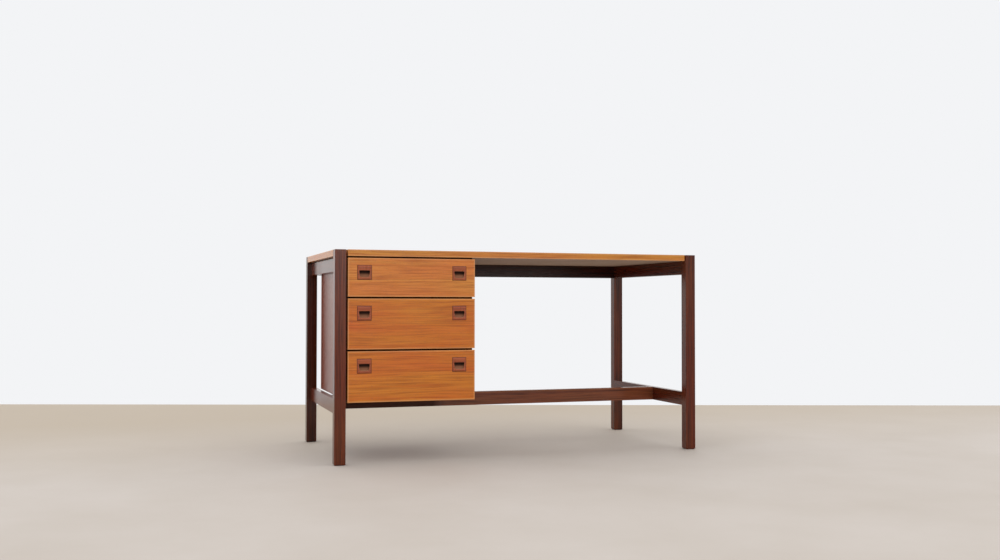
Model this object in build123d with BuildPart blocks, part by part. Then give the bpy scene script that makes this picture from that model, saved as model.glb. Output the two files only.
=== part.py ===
from build123d import *

import os
from math import atan, degrees

# Writing desk: four square legs that rise through the notched corners of the top, an H-shaped
# lower frame, and a hung case with three drawers on the left.
# +X is to the sitter's right, -Y is the front and +Z is up. The origin is on the floor, midway
# between the legs. All sizes are in millimetres.

# Overall
desk_width = 1400
desk_depth = 700
desk_height = 750

# Legs and rails
leg_width = 40
leg_depth = 36
foot_chamfer = 4
rail_thickness = 22
rail_height = 52
lower_rail_bottom = 168
stretcher_setback = 285
shadow_rebate_height = 4
shadow_rebate_width = 6
arris = 1.2

# Tabletop
top_thickness = 23
lipping_width = 12
notch_gap = 5.5

# Drawer fronts
front_setback = 2
front_thickness = 22
front_left_margin = 46
front_width = 462
top_reveal = 5.5
drawer_reveal = 6
front_ease = 1.5

# Drawer case
case_inset = 3.5
case_board = 18
case_bottom_height = 224
case_depth = 530.5
case_front_gap = 0.5
case_back_thickness = 6
case_rebate = 9

# Drawer boxes and runners
side_clearance = 2.25
side_thickness = 12
box_length = 500
housing_depth = 5
panel_thickness = 5
panel_groove_depth = 6
panel_lift = 8
back_margin = 4
runner_thickness = 8
runner_height = 16
runner_length = 500
runner_setback = 2
runner_clearance = 0.5
groove_depth = 6.75
groove_stop = 14

# Pulls
pull_size = 52
pull_side_margin = 32.5
pull_top_margin = 25.5
pull_proud = 2
pull_bevel = 4.5
mortise_depth = 14.5
pocket_top_width = 39
pocket_bottom_width = 35
pocket_height = 24
pocket_drop = 18.5
pocket_depth = 13
pocket_lip = 4
pocket_undercut = 5
pocket_side_undercut = 3
pocket_top_corner = 3
pocket_bottom_corner = 8
pocket_mouth_radius = 0.8
scoop_overrun = 5
scoop_bend_depth = 9
scoop_bend_rise = 5

# Fasteners
dowel_radius = 4
frame_dowel_length = 40
stretcher_dowel_length = 28
case_dowel_radius = 3
case_dowel_length = 22
glue_clearance = 0.05
screw_radius = 2
screw_head_radius = 4
screw_head_height = 2.2
screw_slot_width = 1
screw_slot_length = 9
screw_slot_depth = 1.1
screw_tip_length = 5
screw_tip_radius = 0.4
counterbore_radius = 5
top_screw_rise = 12
top_screw_length = 30
runner_screw_length = 17
back_screw_length = 22
panel_screw_length = 18

# Fastener positions: distances from the lower edge or the end of a piece, or shares of its length
rail_dowel_offsets = (8, 32)
apron_dowel_offsets = (20, 44)
lower_dowel_offsets = (14, 38)
case_screw_margin = 60
case_dowel_margin = 50
back_screw_shares = (0.12, 0.37, 0.63, 0.88)
runner_screw_shares = (0.08, 0.5, 0.92)

# Planes and limits worked out from the sizes above
half_width = desk_width / 2
half_depth = desk_depth / 2
leg_inner_x = half_width - leg_width
leg_inner_y = half_depth - leg_depth
rail_outer_x = leg_inner_x + rail_thickness
rail_mid_x = leg_inner_x + rail_thickness / 2
apron_mid_y = leg_inner_y + rail_thickness / 2
underside = desk_height - top_thickness
upper_rail = (underside - rail_height, underside)
lower_rail = (lower_rail_bottom, lower_rail_bottom + rail_height)
notch_inner_x = leg_inner_x - notch_gap
notch_inner_y = leg_inner_y - notch_gap

front_plane = half_depth - front_setback
front_left = front_left_margin - half_width
front_right = front_left + front_width
case_left = -leg_inner_x
case_right = front_right - case_inset
case_inner = (case_left + case_board, case_right - case_board)
case_front = -front_plane + front_thickness + case_front_gap
case_rear = case_front + case_depth
case_back_face = case_rear - case_back_thickness
case_z = (case_bottom_height, underside)

box_left = case_inner[0] + side_clearance
box_right = case_inner[1] - side_clearance
box_inner = (box_left + side_thickness, box_right - side_thickness)
box_front = -front_plane + front_thickness
box_rear = box_front + box_length
box_back = (box_rear - back_margin - side_thickness, box_rear - back_margin)
runner_front = box_front + groove_stop + runner_setback
bottom_x = (box_inner[0] - panel_groove_depth, box_inner[1] + panel_groove_depth)

os.makedirs("parts", exist_ok=True)


def finish(piece, name):
    """Name a finished piece and write it as its own STEP file."""
    piece.part.label = name
    export_step(piece.part, f"parts/{name}.step")


def slab(x, y, z, mode=Mode.ADD):
    """Add or cut a rectangular block between three pairs of limits."""
    with BuildSketch(Plane.XY.offset(z[0])) as outline:
        with Locations(((x[0] + x[1]) / 2, (y[0] + y[1]) / 2)):
            Rectangle(x[1] - x[0], y[1] - y[0])
    extrude(outline.sketch, amount=z[1] - z[0], mode=mode)


def rod(plane, radius, start, length, mode=Mode.ADD):
    """Add or cut a cylinder along a plane's normal, from start to start + length."""
    with BuildSketch(plane.offset(start)) as outline:
        Circle(radius)
    extrude(outline.sketch, amount=length, mode=mode)


def bore_for_dowels(planes, radius, length):
    """Cut the holes of the dowels that cross the given joint planes."""
    for plane in planes:
        rod(plane, radius + glue_clearance, -length / 2, length, Mode.SUBTRACT)


def build_dowels(planes, radius, length):
    """Add one dowel through each joint plane, half of it on either side."""
    for plane in planes:
        rod(plane, radius, -length / 2, length)


def cone(plane, radius, height, slope, mode=Mode.ADD):
    """Add or cut a round section that narrows along the plane's normal."""
    with BuildSketch(plane) as outline:
        Circle(radius)
    extrude(outline.sketch, amount=height, taper=slope, mode=mode)


def bore_for_screws(planes, length):
    """Cut the countersunk holes of the screws whose heads lie in the given planes."""
    slope = degrees(atan((screw_head_radius - screw_radius) / screw_head_height))
    for plane in planes:
        rod(plane, screw_radius + glue_clearance, 0, length + glue_clearance, Mode.SUBTRACT)
        cone(plane, screw_head_radius + glue_clearance, screw_head_height, slope, Mode.SUBTRACT)


def build_screws(planes, length):
    """Add one slotted countersunk screw at each plane, driven along its normal."""
    slope = degrees(atan((screw_head_radius - screw_radius) / screw_head_height))
    tip_slope = degrees(atan((screw_radius - screw_tip_radius) / screw_tip_length))
    for plane in planes:
        rod(plane, screw_radius, 0, length - screw_tip_length)
        cone(plane.offset(length - screw_tip_length), screw_radius, screw_tip_length, tip_slope)
        cone(plane, screw_head_radius, screw_head_height, slope)
        with BuildSketch(plane) as slot:
            Rectangle(screw_slot_length, screw_slot_width)
        extrude(slot.sketch, amount=screw_slot_depth, mode=Mode.SUBTRACT)


def joint_plane(x, y, z, direction):
    """A plane through a point, facing the given direction."""
    return Plane(origin=(x, y, z), z_dir=direction)


def mirror_pair(limits, side):
    """Limits on the right side of the desk, turned over for the left when side is -1."""
    return tuple(sorted(side * value for value in limits))


# Where the fasteners go. Dowels of the side rails and of the apron meet in the back legs, so
# they are set at different heights.
along_x = (1, 0, 0)
along_y = (0, 1, 0)
upwards = (0, 0, 1)
stretcher_heights = [lower_rail[0] + offset for offset in lower_dowel_offsets]
side_rail_heights = [upper_rail[0] + offset for offset in rail_dowel_offsets] + stretcher_heights
apron_heights = [upper_rail[0] + offset for offset in apron_dowel_offsets]
stretcher_y = (-half_depth + stretcher_setback, -half_depth + stretcher_setback + rail_thickness)
stretcher_mid_y = sum(stretcher_y) / 2

side_dowels = [
    joint_plane(side * rail_mid_x, end * leg_inner_y, z, along_y)
    for side in (-1, 1)
    for end in (-1, 1)
    for z in side_rail_heights
]
apron_dowels = [
    joint_plane(side * leg_inner_x, apron_mid_y, z, along_x)
    for side in (-1, 1)
    for z in apron_heights
]
stretcher_dowels = [
    joint_plane(side * leg_inner_x, stretcher_mid_y, z, along_x)
    for side in (-1, 1)
    for z in stretcher_heights
]


def near(planes, x=None, y=None, z_limits=(0, desk_height)):
    """The joint planes on one side of the desk, at one end, or within a height."""
    chosen = [p for p in planes if z_limits[0] < p.origin.Z < z_limits[1]]
    chosen = [p for p in chosen if x is None or p.origin.X * x > 0]
    return [p for p in chosen if y is None or p.origin.Y * y > 0]


def leg(name, side, end):
    """A square leg with eased arrises and a chamfered foot. side and end are -1 or 1."""
    x = mirror_pair((leg_inner_x, half_width), side)
    y = mirror_pair((leg_inner_y, half_depth), end)
    with BuildPart() as piece:
        slab(x, y, (0, desk_height))
        chamfer(piece.faces().sort_by(Axis.Z)[0].edges(), foot_chamfer)
        fillet(piece.edges().filter_by(Axis.Z), arris)
        fillet(piece.faces().sort_by(Axis.Z)[-1].edges(), arris)
        bore_for_dowels(near(side_dowels, side, end), dowel_radius, frame_dowel_length)
        if end > 0:
            bore_for_dowels(near(apron_dowels, side), dowel_radius, frame_dowel_length)
    finish(piece, name)


for end_name, end in (("front", -1), ("back", 1)):
    for side_name, side in (("left", -1), ("right", 1)):
        leg(f"leg_{end_name}_{side_name}", side, end)


# Screws that hold the top, driven up through the rails. Their heads sit in deep counterbores.
top_screw_base = underside + top_screw_rise - top_screw_length
side_top_screws = [
    joint_plane(side * rail_mid_x, y, top_screw_base, upwards)
    for side in (-1, 1)
    for y in (-desk_depth / 4, desk_depth / 4)
]
apron_top_screws = [
    joint_plane(x, apron_mid_y, top_screw_base, upwards)
    for x in (-desk_width / 3, 0, desk_width / 3)
]


def counterbore(planes):
    """Cut the deep holes that let the top screws' heads in from below."""
    for plane in planes:
        rod(plane, counterbore_radius, -rail_height, rail_height, Mode.SUBTRACT)


def side_rail(name, side, z, is_upper):
    """A rail between a front and a back leg, flush with their inner faces."""
    x = mirror_pair((leg_inner_x, rail_outer_x), side)
    with BuildPart() as piece:
        slab(x, (-leg_inner_y, leg_inner_y), z)
        fillet(piece.edges().filter_by(Axis.Y), arris)
        if is_upper:
            rebate_x = mirror_pair((rail_outer_x - shadow_rebate_width, rail_outer_x), side)
            rebate_z = (z[1] - shadow_rebate_height, z[1])
            slab(rebate_x, (-leg_inner_y, leg_inner_y), rebate_z, Mode.SUBTRACT)
            counterbore(near(side_top_screws, side))
            bore_for_screws(near(side_top_screws, side), top_screw_length)
        else:
            bore_for_dowels(near(stretcher_dowels, side), dowel_radius, stretcher_dowel_length)
        bore_for_dowels(near(side_dowels, side, None, z), dowel_radius, frame_dowel_length)
    finish(piece, name)


for side_name, side in (("left", -1), ("right", 1)):
    side_rail(f"upper_rail_{side_name}", side, upper_rail, True)
    side_rail(f"lower_rail_{side_name}", side, lower_rail, False)


def rear_apron():
    """The rail between the back legs, with the same shadow rebate on its rear face."""
    y = (leg_inner_y, leg_inner_y + rail_thickness)
    with BuildPart() as piece:
        slab((-leg_inner_x, leg_inner_x), y, upper_rail)
        fillet(piece.edges().filter_by(Axis.X), arris)
        rebate_y = (y[1] - shadow_rebate_width, y[1])
        rebate_z = (upper_rail[1] - shadow_rebate_height, upper_rail[1])
        slab((-leg_inner_x, leg_inner_x), rebate_y, rebate_z, Mode.SUBTRACT)
        counterbore(apron_top_screws)
        bore_for_screws(apron_top_screws, top_screw_length)
        bore_for_dowels(apron_dowels, dowel_radius, frame_dowel_length)
    finish(piece, "rear_apron")


def stretcher():
    """The long rail of the H-shaped lower frame."""
    with BuildPart() as piece:
        slab((-leg_inner_x, leg_inner_x), stretcher_y, lower_rail)
        fillet(piece.edges().filter_by(Axis.X), arris)
        bore_for_dowels(stretcher_dowels, dowel_radius, stretcher_dowel_length)
    finish(piece, "stretcher")


def frame_dowels():
    """All the dowels of the frame, as separate solids."""
    with BuildPart() as piece:
        build_dowels(side_dowels + apron_dowels, dowel_radius, frame_dowel_length)
        build_dowels(stretcher_dowels, dowel_radius, stretcher_dowel_length)
    finish(piece, "frame_dowels")


rear_apron()
stretcher()
frame_dowels()


# Tabletop: a veneered panel with notched corners, and a solid lipping on each edge.
case_mid_y = (case_front + case_rear) / 2
case_screw_x = (case_inner[0] + case_screw_margin, case_inner[1] - case_screw_margin)
case_screw_y = (case_front + case_screw_margin, case_mid_y, case_rear - case_screw_margin)
case_screws = [joint_plane(x, y, top_screw_base, upwards) for x in case_screw_x for y in case_screw_y]
panel_x = half_width - lipping_width
panel_y = half_depth - lipping_width


def top_panel():
    """The panel of the top, cut away at the corners for the legs."""
    with BuildPart() as piece:
        slab((-panel_x, panel_x), (-panel_y, panel_y), (underside, desk_height))
        for side in (-1, 1):
            for end in (-1, 1):
                x = mirror_pair((notch_inner_x, half_width), side)
                y = mirror_pair((notch_inner_y, half_depth), end)
                slab(x, y, (underside, desk_height), Mode.SUBTRACT)
        bore_for_screws(side_top_screws + apron_top_screws + case_screws, top_screw_length)
    finish(piece, "top_panel")


def long_lipping(name, end):
    """The lipping along the front or the back edge."""
    y = mirror_pair((panel_y, half_depth), end)
    with BuildPart() as piece:
        slab((-notch_inner_x, notch_inner_x), y, (underside, desk_height))
        outer = piece.faces().sort_by(Axis.Y)[0 if end < 0 else -1]
        fillet(outer.edges().filter_by(Axis.X), arris)
    finish(piece, name)


def end_lipping(name, side):
    """The lipping along the left or the right edge."""
    x = mirror_pair((panel_x, half_width), side)
    with BuildPart() as piece:
        slab(x, (-notch_inner_y, notch_inner_y), (underside, desk_height))
        outer = piece.faces().sort_by(Axis.X)[0 if side < 0 else -1]
        fillet(outer.edges().filter_by(Axis.Y), arris)
    finish(piece, name)


def top_fixing_screws():
    """The screws that hold the top to the rails."""
    with BuildPart() as piece:
        build_screws(side_top_screws + apron_top_screws, top_screw_length)
    finish(piece, "top_fixing_screws")


top_panel()
long_lipping("top_lipping_front", -1)
long_lipping("top_lipping_back", 1)
end_lipping("top_lipping_left", -1)
end_lipping("top_lipping_right", 1)
top_fixing_screws()


# Drawer layout, from the top down: name, front limits in Z, and box limits in Z.
drawer_top_z = underside - top_reveal
drawer_sizes = (("top", 136.5, 14, 102), ("middle", 178.5, 14, 148), ("bottom", 178.5, 31, 130))
drawers = []
for drawer_name, height, lift, box_height in drawer_sizes:
    front_z = (drawer_top_z - height, drawer_top_z)
    box_z = (front_z[0] + lift, front_z[0] + lift + box_height)
    drawers.append((drawer_name, front_z, box_z))
    drawer_top_z = front_z[0] - drawer_reveal


def runner_limits(box_z):
    """Height limits of the runners that carry a drawer box."""
    middle = sum(box_z) / 2
    return (middle - runner_height / 2, middle + runner_height / 2)


def runner_screw_planes(box_z, side):
    """Head planes of the three screws that hold one runner to the case side."""
    wall = case_inner[0] if side < 0 else case_inner[1]
    x = wall - side * runner_thickness
    positions = [runner_front + runner_length * share for share in runner_screw_shares]
    return [joint_plane(x, y, sum(box_z) / 2, (side, 0, 0)) for y in positions]


# Drawer case
case_joint_heights = (case_z[0] + case_board / 2, case_z[1] - case_board / 2)
case_dowel_y = (case_front + case_dowel_margin, case_mid_y, case_rear - case_dowel_margin)
case_dowel_planes = [
    joint_plane(x, y, z, along_x)
    for x in case_inner
    for z in case_joint_heights
    for y in case_dowel_y
]
back_edge_x = (case_inner[0] - case_rebate / 2, case_inner[1] + case_rebate / 2)
back_screw_heights = [case_z[0] + (case_z[1] - case_z[0]) * share for share in back_screw_shares]
back_screws = [
    joint_plane(x, case_rear, z, (0, -1, 0)) for x in back_edge_x for z in back_screw_heights
]


def case_side(name, side):
    """One side of the drawer case, rebated at the rear for the back panel."""
    x = (case_left, case_inner[0]) if side < 0 else (case_inner[1], case_right)
    rebate_x = (x[1] - case_rebate, x[1]) if side < 0 else (x[0], x[0] + case_rebate)
    with BuildPart() as piece:
        slab(x, (case_front, case_rear), case_z)
        outer = piece.faces().sort_by(Axis.X)[0 if side < 0 else -1]
        fillet(outer.edges(), arris / 2)
        slab(rebate_x, (case_back_face, case_rear), case_z, Mode.SUBTRACT)
        bore_for_dowels(case_dowel_planes, case_dowel_radius, case_dowel_length)
        bore_for_screws(back_screws, back_screw_length)
        for _, _, box_z in drawers:
            bore_for_screws(runner_screw_planes(box_z, side), runner_screw_length)
    finish(piece, name)


def case_board_piece(name, z):
    """The top or bottom board of the case, between its sides."""
    with BuildPart() as piece:
        slab(case_inner, (case_front, case_back_face), z)
        bore_for_dowels(case_dowel_planes, case_dowel_radius, case_dowel_length)
        if z[1] == underside:
            bore_for_screws(case_screws, top_screw_length)
    finish(piece, name)


def case_back():
    """The thin back panel, screwed into the rebates of the sides."""
    x = (case_inner[0] - case_rebate, case_inner[1] + case_rebate)
    with BuildPart() as piece:
        slab(x, (case_back_face, case_rear), case_z)
        bore_for_screws(back_screws, back_screw_length)
    finish(piece, "case_back")


def case_dowels():
    """The dowels that join the case boards to its sides."""
    with BuildPart() as piece:
        build_dowels(case_dowel_planes, case_dowel_radius, case_dowel_length)
    finish(piece, "case_dowels")


def case_screw_sets():
    """The screws that hang the case from the top, and those of its back panel."""
    with BuildPart() as hanging:
        build_screws(case_screws, top_screw_length)
    finish(hanging, "case_fixing_screws")
    with BuildPart() as rear:
        build_screws(back_screws, back_screw_length)
    finish(rear, "case_back_screws")


case_side("case_side_left", -1)
case_side("case_side_right", 1)
case_board_piece("case_top", (underside - case_board, underside))
case_board_piece("case_bottom", (case_bottom_height, case_bottom_height + case_board))
case_back()
case_dowels()
case_screw_sets()


# Runners
def runner(name, side, box_z):
    """A hardwood runner on the case side, which the groove of a drawer side slides on."""
    wall = case_inner[0] if side < 0 else case_inner[1]
    x = tuple(sorted((wall, wall - side * runner_thickness)))
    with BuildPart() as piece:
        slab(x, (runner_front, runner_front + runner_length), runner_limits(box_z))
        inner = piece.faces().sort_by(Axis.X)[-1 if side < 0 else 0]
        fillet(inner.edges(), arris)
        bore_for_screws(runner_screw_planes(box_z, side), runner_screw_length)
    finish(piece, name)


def runner_screws():
    """The screws of all six runners."""
    with BuildPart() as piece:
        for _, _, box_z in drawers:
            for side in (-1, 1):
                build_screws(runner_screw_planes(box_z, side), runner_screw_length)
    finish(piece, "runner_screws")


for drawer_name, _, box_z in drawers:
    runner(f"runner_{drawer_name}_left", -1, box_z)
    runner(f"runner_{drawer_name}_right", 1, box_z)
runner_screws()


# Drawers
def pull_centres(front_z):
    """Centres of a drawer's two pulls, as (x, z)."""
    inset = pull_side_margin + pull_size / 2
    z = front_z[1] - pull_top_margin - pull_size / 2
    return (front_left + inset, z), (front_right - inset, z)


def drawer_front(name, front_z, box_z):
    """The overlay front, mortised for the pulls and housed for the box."""
    middle_x = (front_left + front_right) / 2
    front_height = front_z[1] - front_z[0]
    with BuildPart() as piece:
        with BuildSketch(Plane.XZ.offset(front_plane)):
            with Locations((middle_x, sum(front_z) / 2)):
                Rectangle(front_width, front_height)
        extrude(amount=-front_thickness)
        fillet(piece.faces().sort_by(Axis.Y)[0].edges(), front_ease)
        with BuildSketch(Plane.XZ.offset(front_plane)):
            with Locations(*pull_centres(front_z)):
                Rectangle(pull_size, pull_size)
        extrude(amount=-mortise_depth, mode=Mode.SUBTRACT)
        housing_y = (box_front - housing_depth, box_front)
        slab((box_left, box_inner[0]), housing_y, box_z, Mode.SUBTRACT)
        slab((box_inner[1], box_right), housing_y, box_z, Mode.SUBTRACT)
        slab(bottom_x, housing_y, bottom_limits(box_z), Mode.SUBTRACT)
    finish(piece, name)


def bottom_limits(box_z):
    """Height limits of a drawer's bottom panel."""
    return (box_z[0] + panel_lift, box_z[0] + panel_lift + panel_thickness)


def back_limits(box_z):
    """Height limits of a drawer's back, which stands on the bottom panel."""
    return (bottom_limits(box_z)[1], box_z[1] - panel_lift)


def drawer_side(name, side, box_z):
    """A box side: runner groove outside, panel groove and housing for the back inside."""
    x = (box_left, box_inner[0]) if side < 0 else (box_inner[1], box_right)
    y = (box_front - housing_depth, box_rear)
    groove_x = (x[0], x[0] + groove_depth) if side < 0 else (x[1] - groove_depth, x[1])
    panel_x_limits = (bottom_x[0], x[1]) if side < 0 else (x[0], bottom_x[1])
    housing_x = (x[1] - panel_groove_depth, x[1]) if side < 0 else (x[0], x[0] + panel_groove_depth)
    runner_z = runner_limits(box_z)
    groove_z = (runner_z[0] - runner_clearance, runner_z[1] + runner_clearance)
    with BuildPart() as piece:
        slab(x, y, box_z)
        fillet(piece.faces().sort_by(Axis.Z)[-1].edges().filter_by(Axis.Y), arris)
        slab(groove_x, (box_front + groove_stop, box_rear), groove_z, Mode.SUBTRACT)
        slab(panel_x_limits, (y[0], box_back[1]), bottom_limits(box_z), Mode.SUBTRACT)
        slab(housing_x, box_back, back_limits(box_z), Mode.SUBTRACT)
    finish(piece, name)


def panel_screw_planes(box_z):
    """Head planes of the screws that hold a drawer's bottom panel up to its back."""
    middle_x = (box_left + box_right) / 2
    spread = (box_right - box_left) / 3
    y = sum(box_back) / 2
    z = bottom_limits(box_z)[0]
    return [joint_plane(middle_x + step * spread, y, z, upwards) for step in (-1, 0, 1)]


def drawer_back(name, box_z):
    """The back of a drawer box."""
    with BuildPart() as piece:
        slab(bottom_x, box_back, back_limits(box_z))
        bore_for_screws(panel_screw_planes(box_z), panel_screw_length)
    finish(piece, name)


def drawer_bottom(name, box_z):
    """The thin bottom panel, let into the front and the sides."""
    with BuildPart() as piece:
        slab(bottom_x, (box_front - housing_depth, box_back[1]), bottom_limits(box_z))
        bore_for_screws(panel_screw_planes(box_z), panel_screw_length)
    finish(piece, name)


def panel_screws(name, box_z):
    """The screws under a drawer's bottom panel."""
    with BuildPart() as piece:
        build_screws(panel_screw_planes(box_z), panel_screw_length)
    finish(piece, name)


def pocket_block(x, top, top_width, bottom, depths, top_corner):
    """A block of the pocket between two depths, narrower at the bottom, with rounded corners."""
    with BuildPart() as block:
        with BuildSketch(Plane.XZ.offset(front_plane + pull_proud - depths[0])) as outline:
            with BuildLine():
                Polyline((x - top_width / 2, top), (x + top_width / 2, top),
                         (x + pocket_bottom_width / 2, bottom), (x - pocket_bottom_width / 2, bottom),
                         close=True)
            make_face()
            fillet(outline.vertices().group_by(Axis.Y)[0], pocket_bottom_corner)
            fillet(outline.vertices().group_by(Axis.Y)[-1], top_corner)
        extrude(amount=depths[0] - depths[1])
    return block.part


def pull_pocket(centre):
    """The finger pocket as a solid: a mouth and an undercut room, cut to a scooped section."""
    x, z = centre
    face = front_plane + pull_proud
    top = z + pull_size / 2 - pocket_drop
    bottom = top - pocket_height
    roof = top + pocket_undercut
    room_width = pocket_top_width + 2 * pocket_side_undercut
    scoop_start = (-face + pocket_depth, top - pocket_lip)
    scoop_end = (-face, bottom - scoop_overrun)
    bend = (-face + scoop_bend_depth, bottom + scoop_bend_rise)
    with BuildPart() as pocket:
        add(pocket_block(x, top, pocket_top_width, bottom, (0, pocket_depth), pocket_top_corner))
        add(pocket_block(x, roof, room_width, bottom, (pocket_lip, pocket_depth), pocket_undercut))
        with BuildSketch(Plane.YZ.offset(x - room_width / 2)) as section:
            with BuildLine():
                Polyline(scoop_end, (-face, roof), (-face + pocket_depth, roof), scoop_start)
                ThreePointArc(scoop_start, bend, scoop_end)
            make_face()
        extrude(section.sketch, amount=room_width, mode=Mode.INTERSECT)
    return pocket.part


def pull(name, centre):
    """A square pull let into the front, with a bevelled face and an undercut finger pocket."""
    slope = degrees(atan(pull_bevel / pull_proud))
    pocket = pull_pocket(centre)
    with BuildPart() as piece:
        with BuildSketch(Plane.XZ.offset(front_plane)):
            with Locations(centre):
                Rectangle(pull_size, pull_size)
        extrude(amount=-mortise_depth)
        with BuildSketch(Plane.XZ.offset(front_plane)):
            with Locations(centre):
                Rectangle(pull_size, pull_size)
        extrude(amount=pull_proud, taper=slope)
        add(pocket, mode=Mode.SUBTRACT)
        mouth = piece.faces().sort_by(Axis.Y)[0].inner_wires()[0]
        fillet(mouth.edges(), pocket_mouth_radius)
    finish(piece, name)


for drawer_name, front_z, box_z in drawers:
    drawer_front(f"drawer_{drawer_name}_front", front_z, box_z)
    drawer_side(f"drawer_{drawer_name}_side_left", -1, box_z)
    drawer_side(f"drawer_{drawer_name}_side_right", 1, box_z)
    drawer_back(f"drawer_{drawer_name}_back", box_z)
    drawer_bottom(f"drawer_{drawer_name}_bottom", box_z)
    panel_screws(f"drawer_{drawer_name}_screws", box_z)
    left_pull, right_pull = pull_centres(front_z)
    pull(f"drawer_{drawer_name}_pull_left", left_pull)
    pull(f"drawer_{drawer_name}_pull_right", right_pull)
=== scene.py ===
# %% [markdown]
# # A writing desk in teak and dark hardwood
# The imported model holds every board, leg and drawer at its real size. This file gives each of
# them its finish, makes the six finger pulls as smooth surfaces, and sets up the floor, the light
# and the camera. Lengths are in metres. +X is to the sitter's right, -Y is the front, +Z is up.

import math

import bmesh
import bpy
import numpy as np
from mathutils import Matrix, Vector


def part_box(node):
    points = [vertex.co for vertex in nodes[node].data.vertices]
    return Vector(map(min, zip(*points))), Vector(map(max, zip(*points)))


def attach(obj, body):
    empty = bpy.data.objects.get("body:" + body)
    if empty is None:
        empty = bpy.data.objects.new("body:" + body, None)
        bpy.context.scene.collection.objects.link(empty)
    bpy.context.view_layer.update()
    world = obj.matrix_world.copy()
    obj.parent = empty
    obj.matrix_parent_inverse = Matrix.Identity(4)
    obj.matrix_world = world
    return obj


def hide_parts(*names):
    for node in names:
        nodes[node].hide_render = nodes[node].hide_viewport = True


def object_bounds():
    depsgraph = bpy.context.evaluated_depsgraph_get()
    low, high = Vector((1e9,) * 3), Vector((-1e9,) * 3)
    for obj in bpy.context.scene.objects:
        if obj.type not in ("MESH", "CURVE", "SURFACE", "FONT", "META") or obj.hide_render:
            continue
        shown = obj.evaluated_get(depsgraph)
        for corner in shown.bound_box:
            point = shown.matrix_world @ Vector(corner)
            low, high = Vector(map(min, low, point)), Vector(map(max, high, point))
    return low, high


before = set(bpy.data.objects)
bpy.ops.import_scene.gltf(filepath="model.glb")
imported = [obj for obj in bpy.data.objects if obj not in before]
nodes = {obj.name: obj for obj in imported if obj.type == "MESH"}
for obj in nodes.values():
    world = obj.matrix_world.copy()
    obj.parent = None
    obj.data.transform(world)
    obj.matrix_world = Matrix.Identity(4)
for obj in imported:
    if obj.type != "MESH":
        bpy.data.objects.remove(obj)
cad_low, cad_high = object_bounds()

# %% [markdown]
# ## Where things are
# The desk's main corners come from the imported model, so the camera and floor follow its size.

# %% Main corners
desk_size = cad_high - cad_low
top_low, top_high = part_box("top_panel")
print("desk size:", [round(v, 3) for v in desk_size])
print("top panel thickness:", round(top_high.z - top_low.z, 4))

# %% [markdown]
# ## Small helpers for shader nodes
# A material is a chain of small steps. It can be wired up one input and one link at a time, but
# then the recipe drowns in wiring. These helpers add one step each, so that a finish reads from
# top to bottom: add a node, set its inputs by name, and link the sockets it takes from others.


# %% Add one step
def add_node(tree, kind, inputs=None, **settings):
    """Add a node, set its properties, then its inputs: a socket is linked, a value is set."""
    node = tree.nodes.new(kind)
    for key, value in settings.items():
        setattr(node, key, value)
    for key, value in (inputs or {}).items():
        if isinstance(value, bpy.types.NodeSocket):
            tree.links.new(value, node.inputs[key])
        else:
            node.inputs[key].default_value = value
    return node


def math_step(tree, operation, *values):
    """One arithmetic step on numbers or sockets. Returns its result socket."""
    return add_node(tree, "ShaderNodeMath", dict(enumerate(values)), operation=operation).outputs[0]


def vector_step(tree, operation, *values):
    """One vector step. Returns its result socket: a number for a length, or else a vector."""
    node = add_node(tree, "ShaderNodeVectorMath", dict(enumerate(values)), operation=operation)
    return node.outputs["Value" if operation == "LENGTH" else "Vector"]


# %% [markdown]
# Three steps do most of the work in a finish: a value stretched to another range, two colours
# mixed by a mask, and a soft noise that stands for all that is irregular in wood. Further down a
# range that has a name is written as four numbers: from low, from high, to low, to high. The last
# two are left out where they are 0 and 1.


# %% Ranges, mixes and noise
def remap(tree, value, from_low, from_high, to_low=0.0, to_high=1.0):
    """Stretch a value from one range to another, held at its ends."""
    inputs = {"Value": value, "From Min": from_low, "From Max": from_high,
              "To Min": to_low, "To Max": to_high}
    return add_node(tree, "ShaderNodeMapRange", inputs, clamp=True).outputs["Result"]


def mix_colour(tree, share, first, second):
    """Mix two colours by a share from 0 to 1."""
    inputs = {0: share, 6: first, 7: second}
    return add_node(tree, "ShaderNodeMix", inputs, data_type="RGBA").outputs[2]


def noise(tree, vector, scale, detail=2.0, roughness=0.5):
    """A soft noise value from 0 to 1, mostly near the middle."""
    inputs = {"Vector": vector, "Scale": scale, "Detail": detail, "Roughness": roughness}
    return add_node(tree, "ShaderNodeTexNoise", inputs).outputs["Fac"]


# %% [markdown]
# An effect that several finishes share is built once, as a group with named inputs and outputs.
# Colours are easiest to judge as a screen shows them, so they are written that way and turned
# into amounts of light here.


# %% Groups, materials and colours
def new_group(name, inputs, outputs):
    """A shader node group. Inputs are (name, type, value), outputs are (name, type)."""
    tree = bpy.data.node_groups.new(name, "ShaderNodeTree")
    for label, kind, value in inputs:
        socket = tree.interface.new_socket(label, in_out="INPUT", socket_type="NodeSocket" + kind)
        socket.default_value = value
    for label, kind in outputs:
        tree.interface.new_socket(label, in_out="OUTPUT", socket_type="NodeSocket" + kind)
    return tree, tree.nodes.new("NodeGroupInput").outputs, tree.nodes.new("NodeGroupOutput").inputs


def new_material(name):
    """A material, its node tree, its shader and the Object coordinates of the surface."""
    material = bpy.data.materials.new(name)
    material.use_nodes = True
    tree = material.node_tree
    position = add_node(tree, "ShaderNodeTexCoord").outputs["Object"]
    return material, tree, tree.nodes["Principled BSDF"], position


def colour(red, green, blue):
    """A shader colour from screen values between 0 and 255."""
    screen = [value / 255 for value in (red, green, blue)]
    linear = [v / 12.92 if v <= 0.04045 else ((v + 0.055) / 1.055) ** 2.4 for v in screen]
    return (*linear, 1.0)


print("middle grey as an amount of light:", round(colour(128, 128, 128)[0], 3))

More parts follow.
